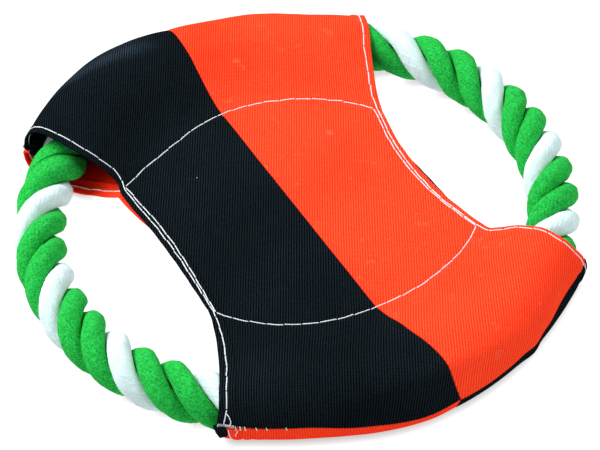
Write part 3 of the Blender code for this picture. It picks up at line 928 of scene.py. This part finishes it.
def add_stitches(name, runs, nodes):
    points, faces, offset = [], [], 0
    for run in runs:
        ring, quads = stitch_geometry(*run)
        points.append(ring)
        faces += [tuple(offset + k for k in quad) for quad in quads]
        offset += len(ring)
    mesh = bpy.data.meshes.new(name)
    mesh.from_pydata(np.concatenate(points).tolist(), [], faces)
    mesh.validate()
    add_piece(name, mesh, "cover", white_thread, nodes)


def hem_path(sheet, insets, rows=slice(None)):
    """The line on a sheet that runs at an inset from its concave edge, with its normals."""
    grids = (sheet.points, sheet.normals)
    line = []
    for row in range(len(sheet.points))[rows]:
        low, part = sheet.spot_at(row, insets[row, 0])
        line.append([grid[row, low] * (1 - part) + grid[row, low + 1] * part for grid in grids])
    return np.moveaxis(np.array(line), 1, 0)


def arc_path(layer, row_name):
    """A stitched arc from the black side's concave edge to the orange side's."""
    parts = []
    for side in (BLACK_SIDE, ORANGE_SIDE):
        sheet = sheets[side, layer]
        row = getattr(sheet, row_name)
        inside = sheet.to_edge[row] > sheet.ring_inset[row]
        both = np.concatenate([sheet.points[row, inside], sheet.normals[row, inside]], axis=1)
        parts.append(both[::-1] if side == BLACK_SIDE else both)
    line = np.concatenate(parts)
    return line[:, :3], line[:, 3:]


def ring_runs(layer):
    """The ring stitch: the far arc, the near arc and a run beside each side of the waist."""
    runs = [(*arc_path(layer, name), THREAD_LIFT) for name in ("far_stitch", "near_stitch")]
    for side in (ORANGE_SIDE, BLACK_SIDE):
        sheet = sheets[side, layer]
        rows = slice(sheet.near_stitch, sheet.far_stitch + 1)
        runs.append((*hem_path(sheet, sheet.ring_inset, rows), THREAD_LIFT))
    return runs


add_stitches("ring_stitches_top", ring_runs(TOP), ["ring_stitch_top_thread"])
add_stitches("ring_stitches_bottom", ring_runs(BOTTOM), ["ring_stitch_bobbin_thread"])
for label, side, layer, _ in PANELS:
    sheet = sheets[side, layer]
    path, normals = hem_path(sheet, sheet.hem_inset)
    inside = path - normals * (2.0 * HEM_FOLD)
    runs = [(path, normals, THREAD_LIFT), (inside, -normals, THREAD_LIFT)]
    add_stitches("hem_stitches_" + label, runs, ["hem_thread_" + label])


def seam_line(first, second, sink):
    """The line where two panels' folded edges meet, from (points, normals) of each, sunk into the groove."""
    points = 0.5 * (first[0] + second[0])
    normals = unit(first[1] + second[1])
    return points - normals * sink, normals


def row_across(layer, row):
    """One row of a layer from the black side's concave edge to the orange side's."""
    black, orange = sheets[BLACK_SIDE, layer], sheets[ORANGE_SIDE, layer]
    points = np.concatenate([black.points[row, ::-1], orange.points[row]])
    normals = np.concatenate([black.normals[row, ::-1], orange.normals[row]])
    return points, normals


for label, layer in (("top", TOP), ("bottom", BOTTOM)):
    halves = [sheets[side, layer] for side in (BLACK_SIDE, ORANGE_SIDE)]
    path, normals = seam_line(*((half.points[:, 0], half.normals[:, 0]) for half in halves), 0.75 * MM)
    runs = [(path[:-UNSEEN_ROWS], normals[:-UNSEEN_ROWS], SEAM_LIFT, SEAM_PITCH)]
    add_stitches("centre_seam_stitches_" + label, runs, ["centre_seam_thread_" + label])
for label, row in (("far", -1), ("near", 0)):
    path, normals = seam_line(row_across(TOP, row), row_across(BOTTOM, row), 0.5 * MM)
    runs = [(path, normals, SEAM_LIFT, SEAM_PITCH)]
    add_stitches("outer_seam_stitches_" + label, runs, ["outer_seam_thread_" + label])


def on_cloth(sheet, from_seam, inset, lift):
    """A point on a sheet: millimetres from its near outer seam, from its concave edge and off the cloth."""
    run = sheet.along[:, -1]
    row = int(np.argmin(np.abs(run - run[0] - from_seam * MM)))
    low, part = sheet.spot_at(row, inset * MM)
    point = sheet.points[row, low] * (1 - part) + sheet.points[row, low + 1] * part
    return point + sheet.normals[row, low] * lift * MM


def bar_tack(sheet, row, length):
    """A satin bar: thread laid to and fro across a short line that starts at the concave edge."""
    path, up = sheet.points[row, ::-1], sheet.normals[row, ::-1]
    run = run_length(path[:, None], 0)[:, 0]
    aside = np.cross(unit(np.gradient(path, axis=0)), up)
    wraps = int(length / (0.15 * MM))
    at = np.linspace(0.0, length, wraps)
    middle, up, aside = (read_path(line, run, at) for line in (path, up, aside))
    taper = 1.0 - 0.6 * smooth((at / length - 0.45) / 0.55)
    swing = 0.55 * MM * taper * np.where(np.arange(wraps) % 2 == 0, 1.0, -1.0)
    return middle + aside * swing[:, None] + up * (0.5 * CLOTH + 0.42 * MM)


def smooth_path(corners, count):
    return through_points(np.array(corners)[:, None], np.linspace(0.0, 1.0, count))[:, 0]


def tube_along(points, radius, sides=6):
    ahead = unit(np.gradient(points, axis=0))
    first = unit(np.cross(ahead, [0.13, 0.21, 0.97]))
    second = np.cross(ahead, first)
    turn = (np.arange(sides) * math.tau / sides)[None, :, None]
    return points[:, None] + radius * first[:, None] * np.cos(turn) + radius * second[:, None] * np.sin(turn)


def add_thread(name, points, radius, nodes=()):
    mesh = mesh_from_grid(name, tube_along(points, radius), True)
    add_piece(name, mesh, "cover", white_thread, nodes)


TACK_R = 0.24 * MM
LOOSE_R = 0.17 * MM
TACKED = (("near_black", BLACK_SIDE, 5), ("far_black", BLACK_SIDE, -2), ("far_orange", ORANGE_SIDE, -2))
for label, side, row in TACKED:
    path = bar_tack(sheets[side, TOP], row, 5.4 * MM)
    add_thread("bar_tack_" + label, path, TACK_R, ["mouth_tack_" + label])

# The loose loop at the end of the near black hem, and the seam's stitches that gape beside it
black_top, orange_under = sheets[BLACK_SIDE, TOP], sheets[BLACK_SIDE, BOTTOM]
loop = ((0.4, 3.0, 0.5), (1.4, 4.2, 0.8), (2.8, 4.4, 1.0), (4.2, 3.5, 0.8), (4.9, 2.7, 0.4))
add_thread("loose_loop", smooth_path([on_cloth(black_top, *place) for place in loop], 28), LOOSE_R)
for number, inset in enumerate((6.2, 7.9, 9.6, 13.6, 17.2, 24.0)):
    ends = [
        on_cloth(black_top, 0.2, inset - 0.1, 0.30),
        on_cloth(black_top, 0.0, inset, 0.42),
        on_cloth(orange_under, 0.15, inset - 1.3, 0.30),
    ]
    add_thread("gaping_stitch_%d" % number, smooth_path(ends, 9), LOOSE_R)
loose = [on_cloth(orange_under, *place, 0.45) for place in ((0.0, 5.4), (0.9, 5.0), (2.0, 4.4), (3.0, 4.5))]
add_thread("loose_end", smooth_path(loose, 16), LOOSE_R)
arc = [on_cloth(sheets[ORANGE_SIDE, BOTTOM], *place, 0.35) for place in ((0.1, 2.6), (0.9, 2.1), (1.8, 2.4))]
add_thread("bar_tack_near_orange", smooth_path(arc, 14), TACK_R, ["mouth_tack_near_orange"])


def hem_flap(name, end, rows):
    """A loose fold of black cloth; each row is its radius, height, and left and right angles."""
    points = []
    for radius, height, left, right in rows:
        line = []
        for share in np.linspace(0.0, 1.0, 13):
            angle = math.radians(left + (right - left) * share)
            puff = 0.35 * math.sin(math.pi * share) + 0.22 * math.sin(3.0 * math.pi * share + 0.3 * height)
            sag = -0.5 * math.sin(math.pi * share) if height < -4.5 else 0.0
            reach = (radius + puff) * MM
            z = RING_Z + (height + sag) * MM
            line.append((-reach * math.sin(angle), end * reach * math.cos(angle), z))
        points.append(line)
    grid = through_points(np.array(points), np.linspace(0.0, 1.0, 22))
    uv = np.stack(np.meshgrid(np.linspace(0, 5 * MM, 13), np.linspace(0, 8 * MM, 22)), axis=-1)
    mesh = mesh_from_grid(name, grid, uv=uv)
    thicken(add_piece(name, mesh, "cover", black_nylon), 2.0 * CLOTH)


# The folded end that hangs out below the near tack, and a black flap that hangs inside the far mouth
hem_flap("black_hem_end", NEAR, (
    (111.6, 2.4, 43.2, 41.2), (111.3, 0.7, 43.2, 41.0), (110.9, -1.4, 43.1, 40.9),
    (110.5, -3.4, 43.1, 41.1), (110.0, -4.9, 42.9, 41.7),
))
hem_flap("black_hem_inside", FAR, (
    (112.5, 4.4, 42.4, 36.5), (112.7, 1.9, 42.7, 36.3), (112.5, -0.4, 42.4, 36.2),
    (112.1, -2.6, 41.4, 36.2), (111.6, -4.7, 40.4, 36.4),
))


# A crumpled fleck of lint on the top layer
LINT_SIZE = 0.25 * MM
lint = black_top.points[180, 26] + black_top.normals[180, 26] * 0.3 * MM
lint = lint + LINT_SIZE * np.cumsum(np.random.default_rng(13).normal(0.0, 0.5, (7, 3)), axis=0)
mesh = mesh_from_grid("lint_on_cover", tube_along(smooth_path(lint, 20), 0.3 * LINT_SIZE, 5), True)
add_piece("lint_on_cover", mesh, "cover", white_thread)


# -------- stage

VIEW_AZIMUTH = math.radians(-25.0)
VIEW_ELEVATION = math.radians(44.8)
VIEW_DISTANCE = 7.33 * RING_R
VIEW_ROLL = math.radians(-5.1)
FLOOR_HALF = 3.0


data = bpy.data.cameras.new("view")
data.sensor_width = 36.0
data.lens = 112.6
data.shift_x = 0.0085
data.shift_y = -0.031
data.clip_start = 0.05
data.clip_end = 20.0
camera = add_object("view", data)
level = math.cos(VIEW_ELEVATION)
back = Vector((math.sin(VIEW_AZIMUTH) * level, -math.cos(VIEW_AZIMUTH) * level, math.sin(VIEW_ELEVATION)))
camera.rotation_mode = "QUATERNION"
turn = (-back).to_track_quat("-Z", "Y")
camera.rotation_quaternion = turn @ Matrix.Rotation(VIEW_ROLL, 3, "Z").to_quaternion()
camera.location = Vector((0.0, 0.0, RING_Z)) + back * VIEW_DISTANCE
bpy.context.scene.camera = camera

# A white glowing floor; camera rays alone see a painted contact shadow on it, darker right beside the ring
mesh = bpy.data.meshes.new("floor")
corners = [(x * FLOOR_HALF, y * FLOOR_HALF, 0.0) for x, y in ((-1, -1), (1, -1), (1, 1), (-1, 1))]
mesh.from_pydata(corners, [], [(0, 1, 2, 3)])
floor = add_object("floor", mesh)
floor.location.z = -0.2 * MM
n = Nodes("pale_floor")
n.put("Base Color", (0.05, 0.05, 0.05))
n.put("Roughness", 0.9)
n.put("Specular IOR Level", 0.0)
n.put("Emission Color", (1.0, 1.0, 1.0))
# Painted contact shadow: ambient occlusion dims the floor's glow for camera rays only.
seen_with_painted_shadow = n.plus(0.30, n.times(n.openness(4.0 * MM, 8), 0.86))
seen_directly = n.add("ShaderNodeLightPath").outputs["Is Camera Ray"]
n.put("Emission Strength", n.plus(1.0, n.times(seen_directly, n.minus(seen_with_painted_shadow, 1.0))))
mesh.materials.append(n.material)

world = bpy.data.worlds.new("studio")
world.use_nodes = True
sky = world.node_tree.nodes["Background"].inputs
sky["Color"].default_value = (0.97, 0.985, 1.0, 1.0)
sky["Strength"].default_value = 0.62
bpy.context.scene.world = world


def make_light(name, place, size, power):
    data = bpy.data.lights.new(name, "AREA")
    data.shape = "DISK"
    data.size = size
    data.energy = power
    light = add_object(name, data)
    light.location = place
    light.rotation_mode = "QUATERNION"
    light.rotation_quaternion = (-Vector(place)).to_track_quat("-Z", "Y")


make_light("key", (-0.55, 0.75, 1.1), 0.9, 26.0)
make_light("fill", (0.9, -0.6, 1.0), 1.2, 6.0)
bpy.context.scene.view_settings.view_transform = "Standard"

bpy.context.view_layer.update()
